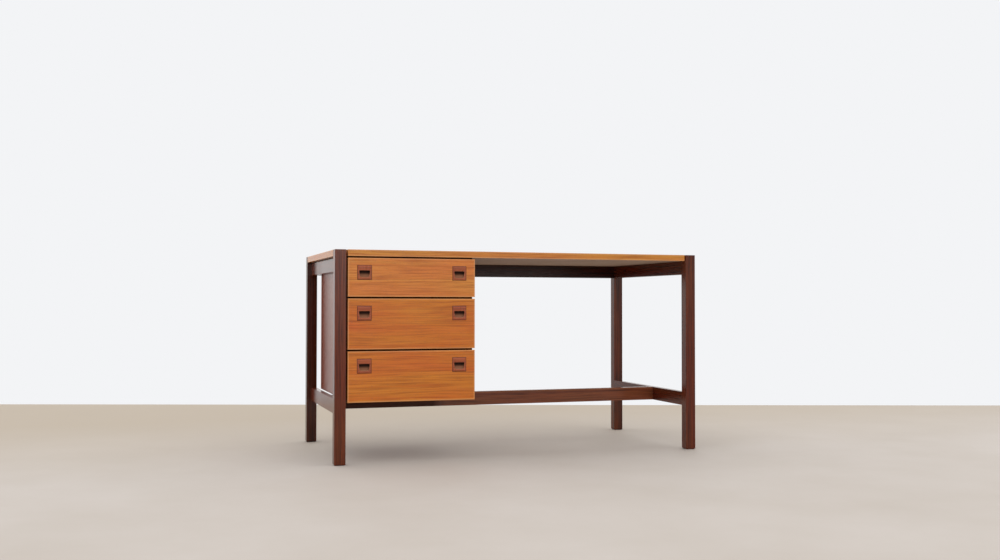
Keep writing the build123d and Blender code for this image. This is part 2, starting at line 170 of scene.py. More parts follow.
# %% [markdown]
# ## How wood is built up
# Real wood is made of layers round the trunk's middle, of fibres along it, and of fine pores. A
# texture can be painted on each face, but then the end grain is wrong. Here the figure is a solid
# one: the grain runs along X, the layers lie round that axis, and a Mapping node in each material
# turns and moves the piece inside this imagined trunk. Far from the axis the lines are straight.


# %% The wood figure group
warp_stretch = (1.7, 6.0, 6.0)
layer_roughness = 0.65
figure_roughness = 0.55
pore_share = 0.6
pore_relief = -0.8
figure_noises = {  # name: stretch along X, Y and Z, detail, and the range that becomes 0 to 1
    "bands": ((1.5, 13.0, 13.0), 3.0, 0.36, 0.64),
    "streaks": ((6.0, 200.0, 200.0), 3.0, 0.44, 0.72),
    "fibres": ((24.0, 900.0, 900.0), 2.0, 0.3, 0.7),
    "pores": ((90.0, 2300.0, 2300.0), 1.0, 0.62, 0.74),
}


def build_wood_figure():
    """Layers are one-dimensional noise over the distance from the X axis, after a slow warp.

    Bands, streaks, fibres and pores are three-dimensional noises, stretched along the grain. Each
    one lays its own tone over the one before, by its own share.
    """
    grey = (0.5, 0.5, 0.5, 1.0)
    tree, given, result = new_group(
        "wood_figure",
        [("Position", "Vector", (0, 0, 0)), ("Layer Spacing", "Float", 0.012),
         ("Waviness", "Float", 0.01), ("Layer Share", "Float", 0.7), ("Band Share", "Float", 0.6),
         ("Streak Share", "Float", 0.6), ("Pale", "Color", grey), ("Deep", "Color", grey),
         ("Band", "Color", grey), ("Streak", "Color", grey), ("Pore", "Color", grey)],
        [("Colour", "Color"), ("Pores", "Float"), ("Relief", "Float")])
    position = given["Position"]
    slow = vector_step(tree, "MULTIPLY", position, warp_stretch)
    warp = math_step(tree, "SUBTRACT", noise(tree, slow, 1.0, 3.0), 0.5)
    shift = math_step(tree, "MULTIPLY", warp, given["Waviness"])
    across = vector_step(tree, "MULTIPLY", position, (0.0, 1.0, 1.0))
    distance = math_step(tree, "ADD", vector_step(tree, "LENGTH", across), shift)
    layer_place = math_step(tree, "DIVIDE", distance, given["Layer Spacing"])
    layers = add_node(tree, "ShaderNodeTexNoise", {"W": layer_place, "Scale": 1.0, "Detail": 3.0,
                      "Roughness": layer_roughness}, noise_dimensions="1D").outputs["Fac"]
    lifted = add_node(tree, "ShaderNodeCombineXYZ", {"Z": shift}).outputs[0]
    flowing = vector_step(tree, "ADD", position, lifted)
    masks = {"layers": remap(tree, layers, 0.3, 0.7)}
    for label, (stretch, detail, low, high) in figure_noises.items():
        place = vector_step(tree, "MULTIPLY", flowing, stretch)
        masks[label] = remap(tree, noise(tree, place, 1.0, detail, figure_roughness), low, high)
    tone = given["Pale"]
    for mask, share, laid in (("layers", given["Layer Share"], given["Deep"]),
                              ("bands", given["Band Share"], given["Band"]),
                              ("streaks", given["Streak Share"], given["Streak"]),
                              ("pores", pore_share, given["Pore"])):
        tone = mix_colour(tree, math_step(tree, "MULTIPLY", masks[mask], share), tone, laid)
    tree.links.new(tone, result["Colour"])
    tree.links.new(masks["pores"], result["Pores"])
    sunk = math_step(tree, "MULTIPLY", masks["pores"], pore_relief)
    tree.links.new(math_step(tree, "ADD", masks["fibres"], sunk), result["Relief"])
    return tree


wood_figure = build_wood_figure()
print("group:", wood_figure.name, "with", len(wood_figure.nodes), "nodes")

# %% [markdown]
# ## Worn arrises
# Corners of furniture are rubbed: the finish is thinner there and the wood paler. The mask finds
# the places near two faces of a piece's box at once, and a noise breaks it up. The teak finishes
# also get an even pale line along the box's edges, a little wider than the worn patches.


# %% The worn arris group
patchy_edge = (1.0, 0.15)  # in edge widths: where wear begins, and where it is full
even_edge = (2.4, 1.6)  # the same for the even line
patch_scale = 38.0
patches_to_share = (0.42, 0.66, 0.0, 0.55)
scuff_stretch = (14.0, 14.0, 3.0)
scuffs_to_roughness = (0.4, 0.72, -0.04, 0.005)
pore_roughness = 0.15


def build_worn_arris():
    """Near an edge when the second smallest of the three distances to the box's faces is small.

    Roughness grows a little where the surface is rubbed and where pores stay open.
    """
    tree, given, result = new_group(
        "worn_arris",
        [("Position", "Vector", (0, 0, 0)), ("Low Corner", "Vector", (0, 0, 0)),
         ("High Corner", "Vector", (1, 1, 1)), ("Width", "Float", 0.002),
         ("Edge Share", "Float", 0.0), ("Base Roughness", "Float", 0.3), ("Pores", "Float", 0.0)],
        [("Worn", "Float"), ("Roughness", "Float")])
    above = vector_step(tree, "SUBTRACT", given["Position"], given["Low Corner"])
    below = vector_step(tree, "SUBTRACT", given["High Corner"], given["Position"])
    nearest = add_node(tree, "ShaderNodeSeparateXYZ",
                       {"Vector": vector_step(tree, "MINIMUM", above, below)}).outputs
    low_xy = math_step(tree, "MINIMUM", nearest[0], nearest[1])
    high_xy = math_step(tree, "MAXIMUM", nearest[0], nearest[1])
    second = math_step(tree, "MINIMUM", high_xy, math_step(tree, "MAXIMUM", low_xy, nearest[2]))
    reach = math_step(tree, "DIVIDE", second, given["Width"])
    patches = noise(tree, given["Position"], patch_scale, 3.0, 0.6)
    patchy = math_step(tree, "MULTIPLY", remap(tree, reach, *patchy_edge),
                       remap(tree, patches, *patches_to_share))
    even = math_step(tree, "MULTIPLY", remap(tree, reach, *even_edge), given["Edge Share"])
    tree.links.new(math_step(tree, "MAXIMUM", patchy, even), result["Worn"])
    scuff_place = vector_step(tree, "MULTIPLY", given["Position"], scuff_stretch)
    scuffs = noise(tree, scuff_place, 1.0, 5.0, 0.65)
    rubbed = remap(tree, scuffs, *scuffs_to_roughness)
    open_pores = math_step(tree, "MULTIPLY", given["Pores"], pore_roughness)
    rough = math_step(tree, "ADD", given["Base Roughness"], rubbed)
    tree.links.new(math_step(tree, "ADD", rough, open_pores), result["Roughness"])
    return tree


worn_arris = build_worn_arris()
print("group:", worn_arris.name, "with", len(worn_arris.nodes), "nodes")

# %% [markdown]
# ## The finishes
# Each finish is a short list of colours and numbers: a pale and a deep tone for the layers, a
# third tone for broad bands, tones for streaks, pores and worn edges, the spacing of the layers in
# metres, how strongly each tone shows, and how smooth the oil or lacquer leaves the surface.

# %% Finishes of this desk
finishes = {
    "teak": dict(pale=(214, 148, 62), deep=(196, 112, 34), band=(208, 110, 52),
                 streak=(136, 56, 14), pore=(84, 38, 14), worn=(228, 172, 118), spacing=0.014,
                 waviness=0.035, layer_share=0.7, band_share=0.62, streak_share=0.6,
                 edge_share=0.36, roughness=0.25, gloss=0.3, bump=0.1),
    # Painted shade: a deeper copy of the teak for the lower drawer fronts.
    "shaded_teak": dict(pale=(208, 130, 42), deep=(190, 98, 20), band=(200, 92, 34),
                      streak=(122, 46, 10), pore=(84, 38, 14), worn=(228, 172, 118), spacing=0.014,
                      waviness=0.035, layer_share=0.7, band_share=0.85, streak_share=0.55,
                      edge_share=0.36, roughness=0.25, gloss=0.3, bump=0.1),
    "hardwood": dict(pale=(118, 56, 22), deep=(72, 30, 12), band=(108, 32, 18), streak=(34, 11, 6),
                     pore=(24, 9, 5), worn=(140, 88, 62), spacing=0.009, waviness=0.012,
                     layer_share=0.9, band_share=0.6, streak_share=0.75, edge_share=0.0,
                     roughness=0.2, gloss=0.3, bump=0.1),
    "brown_hardwood": dict(pale=(134, 78, 46), deep=(92, 46, 27), band=(122, 56, 36),
                           streak=(46, 20, 12), pore=(30, 14, 8), worn=(150, 104, 78),
                           spacing=0.009, waviness=0.012, layer_share=0.9, band_share=0.6,
                           streak_share=0.7, edge_share=0.0, roughness=0.22, gloss=0.3, bump=0.1),
    "veneer": dict(pale=(152, 76, 46), deep=(112, 46, 29), band=(150, 60, 42), streak=(66, 27, 16),
                   pore=(40, 16, 10), worn=(150, 96, 68), spacing=0.012, waviness=0.03,
                   layer_share=0.8, band_share=0.6, streak_share=0.6, edge_share=0.0,
                   roughness=0.2, gloss=0.3, bump=0.06),
    "pull": dict(pale=(170, 92, 50), deep=(144, 66, 36), band=(172, 80, 50), streak=(66, 26, 16),
                 pore=(44, 18, 12), worn=(176, 108, 78), spacing=0.006, waviness=0.01,
                 layer_share=0.7, band_share=0.5, streak_share=0.5, edge_share=0.0,
                 roughness=0.3, gloss=0.35, bump=0.06),
    "beech": dict(pale=(220, 184, 140), deep=(200, 158, 112), band=(212, 168, 122),
                  streak=(176, 128, 86), pore=(160, 116, 80), worn=(230, 200, 160), spacing=0.009,
                  waviness=0.02, layer_share=0.6, band_share=0.4, streak_share=0.4,
                  edge_share=0.0, roughness=0.48, gloss=0.4, bump=0.06),
    "plywood": dict(pale=(214, 178, 134), deep=(194, 152, 106), band=(206, 160, 114),
                    streak=(170, 124, 84), pore=(156, 114, 80), worn=(226, 194, 152), spacing=0.03,
                    waviness=0.12, layer_share=0.6, band_share=0.4, streak_share=0.4,
                    edge_share=0.0, roughness=0.55, gloss=0.3, bump=0.05),
    "backing": dict(pale=(150, 108, 72), deep=(126, 84, 54), band=(138, 92, 62),
                    streak=(100, 64, 42), pore=(84, 52, 34), worn=(170, 130, 92), spacing=0.03,
                    waviness=0.12, layer_share=0.6, band_share=0.5, streak_share=0.4,
                    edge_share=0.0, roughness=0.55, gloss=0.3, bump=0.05),
}
tone_names = ("pale", "deep", "band", "streak", "pore", "worn")
print("finishes:", sorted(finishes))

# %% [markdown]
# ## From a finish to a material
# The grain follows the length of each board, so every piece says which axis its grain runs along.
# A different place in the trunk for each piece keeps neighbours from looking alike. The places
# come from a seeded generator, so they are the same each time.

# %% Grain directions and places in the trunk
grain_turns = {"x": (0.0, 0.0, 0.0), "y": (0.0, 0.0, -math.pi / 2), "z": (0.0, math.pi / 2, 0.0)}
trunk_places = np.random.default_rng(11)
trunk_reach = 3.0
heart_spread = 0.2
relief_depth = 0.0006
print("grain can run along:", sorted(grain_turns))

# %% [markdown]
# A finish's values go into the two groups, and what comes out feeds the shader's colour, its
# roughness and a very fine relief. A piece with its own material can be a shade lighter or darker
# than its finish, as boards are; on the frame the same factor paints shade.


# %% One piece's wood
def wood_material(name, finish_name, grain, box, heart=(0.32, 0.45), tone=1.0):
    """A solid wood finish for one piece: its layers lie round a heart this far away from it."""
    finish = finishes[finish_name]
    tones = {}
    for key in tone_names:
        red, green, blue, alpha = colour(*finish[key])
        tones[key] = (red * tone, green * tone, blue * tone, alpha)
    material, tree, shader, position = new_material(name)
    place = (float(trunk_places.uniform(-trunk_reach, trunk_reach)),
             heart[0] + float(trunk_places.uniform(0, heart_spread)),
             heart[1] + float(trunk_places.uniform(0, heart_spread)))
    mapped = add_node(tree, "ShaderNodeMapping", {"Vector": position, "Location": place,
                      "Rotation": grain_turns[grain]}).outputs[0]
    figure = add_node(tree, "ShaderNodeGroup", {
        "Position": mapped, "Layer Spacing": finish["spacing"], "Waviness": finish["waviness"],
        "Layer Share": finish["layer_share"], "Band Share": finish["band_share"],
        "Streak Share": finish["streak_share"], "Pale": tones["pale"], "Deep": tones["deep"],
        "Band": tones["band"], "Streak": tones["streak"], "Pore": tones["pore"],
    }, node_tree=wood_figure).outputs
    wear = add_node(tree, "ShaderNodeGroup", {
        "Position": position, "Low Corner": box[0], "High Corner": box[1],
        "Edge Share": finish["edge_share"], "Base Roughness": finish["roughness"],
        "Pores": figure["Pores"],
    }, node_tree=worn_arris).outputs
    worn = mix_colour(tree, wear["Worn"], figure["Colour"], tones["worn"])
    tree.links.new(worn, shader.inputs["Base Color"])
    tree.links.new(wear["Roughness"], shader.inputs["Roughness"])
    shader.inputs["Specular IOR Level"].default_value = finish["gloss"]
    bump = add_node(tree, "ShaderNodeBump", {"Strength": finish["bump"],
                    "Distance": relief_depth, "Height": figure["Relief"]})
    tree.links.new(bump.outputs[0], shader.inputs["Normal"])
    return material


# %% [markdown]
# Some pieces differ from place to place: front edges painted dark as shade, a plain back, a
# pocket laid over with grey. Such a place is a second tone laid over the wood by a mask.


# %% Lay a tone over a material
def object_position(material):
    """The Object coordinates of a material, and their three parts."""
    tree = material.node_tree
    position = add_node(tree, "ShaderNodeTexCoord").outputs["Object"]
    return position, add_node(tree, "ShaderNodeSeparateXYZ", {"Vector": position}).outputs


def overlay(material, mask, tone, roughness=None):
    """Lay a tone over a material's colour by a mask, and optionally raise its roughness."""
    tree = material.node_tree
    shader = tree.nodes["Principled BSDF"]
    before = shader.inputs["Base Color"].links[0].from_socket
    tree.links.new(mix_colour(tree, mask, before, tone), shader.inputs["Base Color"])
    if roughness is not None:
        smooth = shader.inputs["Roughness"].links[0].from_socket
        tree.links.new(math_step(tree, "MAXIMUM", smooth, roughness), shader.inputs["Roughness"])


def clothe(node_name, material):
    """Give a CAD piece one material all over."""
    mesh = nodes[node_name].data
    mesh.materials.clear()
    mesh.materials.append(material)


# %% [markdown]
# ## Legs and rails
# The frame is a dark reddish hardwood, oiled to a low gloss. Legs have upright grain, rails have
# grain along their length. The pieces on the right and at the back are painted darker than the
# front left leg: painted shade, for the shade they stand in under and behind the top.

# %% Finish the frame
frame_grain = {f"leg_{end}_{side}": "z" for end in ("front", "back") for side in ("left", "right")}
frame_grain.update({f"{level}_rail_{side}": "y" for level in ("upper", "lower")
                    for side in ("left", "right")})
frame_grain["rear_apron"] = "x"
# Painted shade: these factors darken the pieces that stand in shade under and behind the top, the
# rear apron most.
frame_shade_factors = {"leg_front_right": 0.85, "leg_back_left": 0.42, "leg_back_right": 0.8,
               "rear_apron": 0.22, "upper_rail_right": 0.7, "lower_rail_right": 0.7}
for node_name, grain in frame_grain.items():
    material = wood_material(f"hardwood_{node_name}", "hardwood", grain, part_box(node_name),
                             tone=frame_shade_factors.get(node_name, 1.0))
    clothe(node_name, material)
print("frame pieces:", len(frame_grain))

# %% [markdown]
# ## The stretcher
# The long low rail is browner than the legs. Under the drawer case it is painted nearly black and
# made rough: painted shadow of the case, which ends softly where the case does.

# %% Finish the stretcher
shadow_edge_start = 0.005
shadow_edge_end = 0.06
case_shadow_share = 0.72
case_shadow_tone = colour(26, 10, 6)
case_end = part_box("case_bottom")[1].x
material = wood_material("hardwood_stretcher", "brown_hardwood", "x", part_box("stretcher"))
# Painted shadow: left of the case's right end the stretcher is painted dark, in place of the case's
# shadow.
case_shadow = remap(material.node_tree, object_position(material)[1][0], case_end - shadow_edge_start,
                case_end - shadow_edge_end, 0.0, case_shadow_share)
overlay(material, case_shadow, case_shadow_tone, case_shadow)
clothe("stretcher", material)
print("the stretcher is deeper left of x =", round(case_end - shadow_edge_start, 3))

# %% [markdown]
# ## The lippings of the top
# The edges of the top's panel are hidden by solid teak lippings. Their outer corners are rubbed
# pale, but the joints between them are not, so all four are worn as one block: the box round them.

# %% Finish the lippings
lipping_grain = {"front": "x", "back": "x", "left": "y", "right": "y"}
lipping_tone = 0.93
lipping_boxes = [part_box(f"top_lipping_{edge}") for edge in lipping_grain]
rim_box = tuple(Vector(pick([corners[end][axis] for corners in lipping_boxes]) for axis in range(3))
                for end, pick in ((0, min), (1, max)))
for edge, grain in lipping_grain.items():
    node_name = f"top_lipping_{edge}"
    clothe(node_name, wood_material(f"teak_{node_name}", "teak", grain, rim_box, tone=lipping_tone))
print("lippings:", len(lipping_grain))

# %% [markdown]
# ## The panel of the top
# The panel is veneered with teak above, and below with a plain greyish veneer that balances it and
# was never oiled. One material can do both faces, because they lie at different heights.

# %% Finish the panel
top_box = (cad_low, cad_high)
top_heart = (0.9, 0.15)
veneer_thickness = 0.0006
plain_stretch = (2.5, 46.0, 46.0)
plain_pale = colour(172, 146, 126)
plain_deep = colour(144, 118, 100)
plain_roughness = 0.8


def back_with_plain_veneer(material, height):
    """Below a height, swap the figured colour for the plain, dull veneer."""
    tree = material.node_tree
    position, parts = object_position(material)
    is_below = math_step(tree, "LESS_THAN", parts[2], height)
    stretched = vector_step(tree, "MULTIPLY", position, plain_stretch)
    patches = remap(tree, noise(tree, stretched, 1.0, 4.0, 0.6), 0.3, 0.7)
    plain = mix_colour(tree, patches, plain_pale, plain_deep)
    overlay(material, is_below, plain, math_step(tree, "MULTIPLY", is_below, plain_roughness))


top_material = wood_material("teak_top_panel", "teak", "x", top_box, heart=top_heart)
back_with_plain_veneer(top_material, top_low.z + veneer_thickness)
clothe("top_panel", top_material)
print("the top's plain veneer ends at z =", round(top_low.z + veneer_thickness, 4))

# %% [markdown]
# ## The drawer case
# The case is board covered with a dark veneer whose grain stands upright on the sides. Its front
# edges are painted nearly black and made rough as painted shade, so that the gaps between the
# fronts read dark. The back is a thin, plain panel.

# %% Finish the case
case_grain = {"case_side_left": "z", "case_side_right": "z", "case_top": "x", "case_bottom": "x"}
case_heart = (0.3, 0.8)
edge_shade_depth = 0.003
edge_shade_share = 0.9
edge_shade_tone = colour(18, 7, 4)


def build_front_edge_shade():
    """A mask that is 0 behind the front edge and nearly 1 on it, with a step of a millimetre."""
    tree, given, result = new_group(
        "front_edge_shade", [("Position", "Vector", (0, 0, 0)), ("Front", "Float", 0.0)],
        [("Edge Shade", "Float")])
    place = add_node(tree, "ShaderNodeSeparateXYZ", {"Vector": given["Position"]}).outputs[1]
    behind = math_step(tree, "SUBTRACT", place, given["Front"])
    edge_shade = remap(tree, behind, edge_shade_depth, edge_shade_depth * 0.7, 0.0, edge_shade_share)
    tree.links.new(edge_shade, result["Edge Shade"])
    return tree


front_edge_shade = build_front_edge_shade()
for node_name, grain in case_grain.items():
    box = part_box(node_name)
    material = wood_material(f"veneer_{node_name}", "veneer", grain, box, heart=case_heart)
    edge_shade = add_node(material.node_tree, "ShaderNodeGroup",
                     {"Position": object_position(material)[0], "Front": box[0].y},
                     node_tree=front_edge_shade).outputs["Edge Shade"]
    # Painted shade: the case's front edges are painted nearly black so the gaps between fronts look
    # shaded.
    overlay(material, edge_shade, edge_shade_tone, edge_shade)
    clothe(node_name, material)
clothe("case_back", wood_material("backing_case_back", "backing", "z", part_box("case_back")))
print("case pieces:", len(case_grain) + 1)

# %% [markdown]
# ## The drawers
# The fronts are solid teak with their grain across. The two lower fronts take a deeper, redder copy
# of the teak than the top one: painted shade, as less light reaches them lower down. The boxes
# behind them are pale beech with plywood bottoms, and they slide on beech runners.

# %% Finish the drawers
drawer_names = ("top", "middle", "bottom")
front_finishes = {"top": "teak", "middle": "shaded_teak", "bottom": "shaded_teak"}
front_heart = (0.2, 0.9)
plywood_heart = (0.5, 0.1)
for drawer in drawer_names:
    front = f"drawer_{drawer}_front"
    clothe(front, wood_material(f"teak_{front}", front_finishes[drawer], "x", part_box(front),
                                heart=front_heart))
    for part, grain in (("side_left", "y"), ("side_right", "y"), ("back", "x")):
        node_name = f"drawer_{drawer}_{part}"
        clothe(node_name, wood_material(f"beech_{node_name}", "beech", grain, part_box(node_name)))
    node_name = f"drawer_{drawer}_bottom"
    clothe(node_name, wood_material(f"plywood_{node_name}", "plywood", "x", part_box(node_name),
                                    heart=plywood_heart))
    for side in ("left", "right"):
        node_name = f"runner_{drawer}_{side}"
        clothe(node_name, wood_material(f"beech_{node_name}", "beech", "y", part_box(node_name)))
print("drawers:", len(drawer_names), "with fronts", front_finishes)

# %% [markdown]
# ## The dowels
# The joints of the frame and of the case are held by beech dowels, hidden inside the wood. They
# have a finish all the same, for whoever takes the desk apart.

# %% Finish the dowels
dowel_sets = ("frame_dowels", "case_dowels")
for node_name in dowel_sets:
    clothe(node_name, wood_material(f"beech_{node_name}", "beech", "x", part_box(node_name)))
print("dowel sets:", len(dowel_sets))

# %% [markdown]
# ## The finger pulls
# A pull is a square block of hardwood let into the front, with a bevelled rim and a routed finger
# pocket: a flat roof that undercuts the face, round lower corners, and a floor that scoops back
# and up. It can be carved with cuts between solids, but a single skin is smoother: rings of points
# run from the middle of the back, round the rim, over the face, down into the pocket and along its
# floor. Every ring has the same number of points, so the skin is one regular grid.

# %% Sizes of a pull
pull_half = 0.026
pull_bevel = 0.0045
pull_proud = 0.002
pull_thickness = 0.0165
square_corner = 0.0005
mouth = dict(half_top=0.0195, half_bottom=0.0175, top=0.0075, bottom=-0.0165,
             top_corner=0.003, bottom_corner=0.008)
mouth_round = 0.0008
lip_depth = 0.004
pocket_depth = 0.013
undercut = 0.0042
undercut_shape = ((0.15, 0.0), (0.8, 0.0002), (1.0, 0.001), (1.0, 0.004), (1.0, 0.0075),
                  (0.85, 0.0088), (0.6, 0.009))  # share of the undercut, depth behind the lip
roof_spread = 0.55
scoop_start = 0.006
scoop_reach = 0.027
scoop_power = 1.7
scoop_blend = 0.0012
pocket_centre = (0.0, -0.003)
print("a pull is", round(2000 * pull_half), "mm square and", 1000 * pull_thickness, "mm thick")

# %% [markdown]
# The outline of the mouth is a trapezoid with rounded corners. Its arcs and its sides each have a
# set number of points, so that every ring can be joined to the next one point by point.

# %% Outlines
arc_steps = 12
side_steps = 14


def rounded_outline(half_top, half_bottom, top, bottom, top_corner, bottom_corner):
    """Anticlockwise points and outward directions of a trapezoid with four rounded corners."""
    corners = ((half_top - top_corner, top - top_corner, top_corner),
               (top_corner - half_top, top - top_corner, top_corner),
               (bottom_corner - half_bottom, bottom + bottom_corner, bottom_corner),
               (half_bottom - bottom_corner, bottom + bottom_corner, bottom_corner))
    arcs, outward = [], []
    for quarter, (x, z, radius) in enumerate(corners):
        angle = np.linspace(quarter, quarter + 1, arc_steps) * math.pi / 2
        direction = np.stack([np.cos(angle), np.sin(angle)], axis=1)
        arcs.append(np.array([x, z]) + radius * direction)
        outward.append(direction)
    points, normals = [], []
    for quarter in range(4):
        after = arcs[(quarter + 1) % 4][0]
        share = np.linspace(0, 1, side_steps + 2)[1:-1, None]
        points += [arcs[quarter], arcs[quarter][-1] * (1 - share) + after * share]
        normals += [outward[quarter], np.repeat(outward[quarter][-1:], side_steps, axis=0)]
    return np.concatenate(points), np.concatenate(normals)


def square_outline(half):
    """The points of a square with barely rounded corners."""
    return rounded_outline(half, half, half, -half, square_corner, square_corner)[0]


print("points round a ring:", len(square_outline(pull_half)))

# %% [markdown]
# The pocket's floor is a scoop. Where it meets the flat end of the pocket the two are blended,
# because a router bit leaves no sharp line there.


# %% Rings of a pull
def soft_minimum(first, second, width):
    """The smaller of two arrays, blended over a width where they are close."""
    share = np.clip(0.5 + 0.5 * (second - first) / width, 0, 1)
    return second * (1 - share) + first * share - width * share * (1 - share)


def pull_rings():
    """Rings of a pull from its back to its pocket's middle, as offsets (x, z) and depths.

    Each ring is the mouth's outline moved outwards, or the square rim. Inside the pocket a point
    is no deeper than the scooped floor: depth = full depth * (1 - (drop / reach) ** power), where
    drop is how far the point lies below the start of the scoop.
    """
    rim = square_outline(pull_half)
    inner = square_outline(pull_half - pull_bevel)
    edge, outward = rounded_outline(**mouth)
    rings = [(rim * 0.01, pull_thickness), (rim, pull_thickness), (rim, pull_proud + 0.0003),
             (rim * 0.99, pull_proud), (inner * 1.012, 0.00015), (inner, 0.0), (inner * 0.97, 0.0)]
    for turn in np.linspace(0, math.pi / 2, 6):
        offset = mouth_round * (1 - math.sin(turn))
        rings.append((edge + outward * offset, mouth_round * (1 - math.cos(turn))))
    first_inside = len(rings)
    rings.append((edge, lip_depth))
    upper = np.clip(outward[:, 1:] + roof_spread, 0, 1)
    for share, depth in undercut_shape:
        rings.append((edge + outward * upper * undercut * share, lip_depth + depth))
    last = rings[-1][0]
    centre = np.array(pocket_centre)
    for scale in np.linspace(0.94, 0.01, 16):
        rings.append((centre + (last - centre) * scale, pocket_depth))
    outline = np.stack([ring for ring, _ in rings])
    depth = np.stack([np.full(len(edge), value) for _, value in rings])
    drop = np.clip(scoop_start - outline[:, :, 1], 0, scoop_reach)
    floor_depth = pocket_depth * (1 - (drop / scoop_reach) ** scoop_power)
    in_pocket = np.arange(len(rings))[:, None] >= first_inside
    scooped = soft_minimum(depth, floor_depth, scoop_blend)
    return outline, np.where(in_pocket, scooped, depth)


print("rings in a pull:", len(pull_rings()[1]))

# %% [markdown]
# The rings become a grid of four-sided faces, closed by one face at the back and one in the middle
# of the pocket. Where the scoop comes up to the mouth, rings fall together, and their points are
# welded so that no face is left without area.

# %% Skin a pull
weld_distance = 0.00001
crease_angle = math.radians(38)


def weld(mesh, distance):
    """Join points that lie closer than a distance, so that no face is left without area."""
    work = bmesh.new()
    work.from_mesh(mesh)
    bmesh.ops.remove_doubles(work, verts=work.verts, dist=distance)
    work.to_mesh(mesh)
    work.free()


def build_pull(node_name, body):
    """Skin one pull over its rings, closed at the back and in the middle of the pocket."""
    low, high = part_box(node_name)
    outline, depth = pull_rings()
    rings, count = depth.shape
    points = np.stack([(low.x + high.x) / 2 + outline[:, :, 0], low.y + depth,
                       (low.z + high.z) / 2 + outline[:, :, 1]], axis=2).reshape(-1, 3)
    ring, step = np.meshgrid(np.arange(rings - 1), np.arange(count), indexing="ij")
    ahead = (step + 1) % count
    quads = np.stack([ring * count + step, ring * count + ahead, (ring + 1) * count + ahead,
                      (ring + 1) * count + step], axis=2).reshape(-1, 4)
    faces = quads.tolist()
    faces.append(list(range(count))[::-1])
    faces.append(list(range((rings - 1) * count, rings * count)))
    mesh = bpy.data.meshes.new(node_name + "_carved")
    mesh.from_pydata(points.tolist(), [], faces)
    weld(mesh, weld_distance)
    mesh.shade_smooth()
    mesh.set_sharp_from_angle(angle=crease_angle)
    piece = bpy.data.objects.new(node_name + "_carved", mesh)
    bpy.context.scene.collection.objects.link(piece)
    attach(piece, body)
    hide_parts(node_name)
    return piece


# %% [markdown]
# Colour tells a pull's parts apart: its bevel is painted dark where it meets the front as painted
# shade, its pocket is laid over with grey, a painted highlight runs pale along the mouth's edge,
# and behind the lip the pocket is painted nearly black as painted shade and made rough. All of this
# follows from two lengths: the distance from the pull's middle, and the depth behind its face.

# %% Wear on a pull
# Painted shade: the bevel is painted dark where it meets the front.
rim_shade = (pull_half - 0.0028, pull_half - 0.0008, 0.0, 0.8)
# Deeper than 1 to 4 mm the pocket is laid over with a greyer tone.
pocket_grey_range = (0.001, 0.004, 0.0, 0.6)
# Painted highlight: a pale line along the mouth's rounded edge.
highlight_begins = (0.00005, 0.0003, 0.0, 0.45)
highlight_ends = (0.0007, 0.0012, 1.0, 0.0)
# Painted shade: deep in the pocket the wood is painted nearly black.
deep_shade = (0.0085, 0.012, 0.0, 0.95)
raw_wood = (0.002, 0.004, 0.0, 0.95)


def build_pull_wear():
    """Masks over a pull, from the distance to its middle and the depth behind its face."""
    tree, given, result = new_group(
        "pull_wear",
        [("Position", "Vector", (0, 0, 0)), ("Low Corner", "Vector", (0, 0, 0)),
         ("High Corner", "Vector", (1, 1, 1))],
        [("Pocket Grey", "Float"), ("Lip Highlight", "Float"), ("Dark", "Float"), ("Raw", "Float")])
    both_corners = vector_step(tree, "ADD", given["Low Corner"], given["High Corner"])
    middle = vector_step(tree, "MULTIPLY", both_corners, (0.5, 0.5, 0.5))
    from_middle = vector_step(tree, "SUBTRACT", given["Position"], middle)
    aside = add_node(tree, "ShaderNodeSeparateXYZ",
                     {"Vector": vector_step(tree, "ABSOLUTE", from_middle)}).outputs
    reach = math_step(tree, "MAXIMUM", aside[0], aside[2])
    from_front = vector_step(tree, "SUBTRACT", given["Position"], given["Low Corner"])
    depth = add_node(tree, "ShaderNodeSeparateXYZ", {"Vector": from_front}).outputs[1]
    within = math_step(tree, "LESS_THAN", reach, pull_half - pull_bevel)
    lip_highlight = math_step(tree, "MULTIPLY", remap(tree, depth, *highlight_begins),
                    remap(tree, depth, *highlight_ends))
    for label, mask in (("Pocket Grey", remap(tree, depth, *pocket_grey_range)), ("Lip Highlight", lip_highlight),
                        ("Raw", remap(tree, depth, *raw_wood))):
        tree.links.new(math_step(tree, "MULTIPLY", mask, within), result[label])
    deep = math_step(tree, "MULTIPLY", remap(tree, depth, *deep_shade), within)
    dark = math_step(tree, "MAXIMUM", remap(tree, reach, *rim_shade), deep)
    tree.links.new(dark, result["Dark"])
    return tree


pull_wear = build_pull_wear()
print("group:", pull_wear.name, "with", len(pull_wear.nodes), "nodes")

# %% [markdown]
# Each drawer has a left and a right pull. The smooth skin takes the place of the solid one, rides
# on the same drawer, and has its own bit of wood.

# %% Place the pulls
pocket_grey_tone = colour(134, 106, 82)
lip_highlight_tone = colour(216, 160, 124)
pull_shade_tone = colour(30, 9, 4)
for drawer in drawer_names:
    for side in ("left", "right"):
        node_name = f"drawer_{drawer}_pull_{side}"
        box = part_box(node_name)
        piece = build_pull(node_name, f"drawer_{drawer}")
        material = wood_material(f"pull_{drawer}_{side}", "pull", "x", box)
        wear = add_node(material.node_tree, "ShaderNodeGroup",
                        {"Position": object_position(material)[0], "Low Corner": box[0],
                         "High Corner": box[1]}, node_tree=pull_wear).outputs
        # The pocket is laid over with a greyer tone.
        overlay(material, wear["Pocket Grey"], pocket_grey_tone)
        # Painted highlight along the mouth's rounded edge.
        overlay(material, wear["Lip Highlight"], lip_highlight_tone)
        # Painted shade on the bevel's outer edge and deep in the pocket, which is also made rough.
        overlay(material, wear["Dark"], pull_shade_tone, wear["Raw"])
        piece.data.materials.append(material)
        clothe(node_name, material)
print("a pull has", len(piece.data.polygons), "faces")

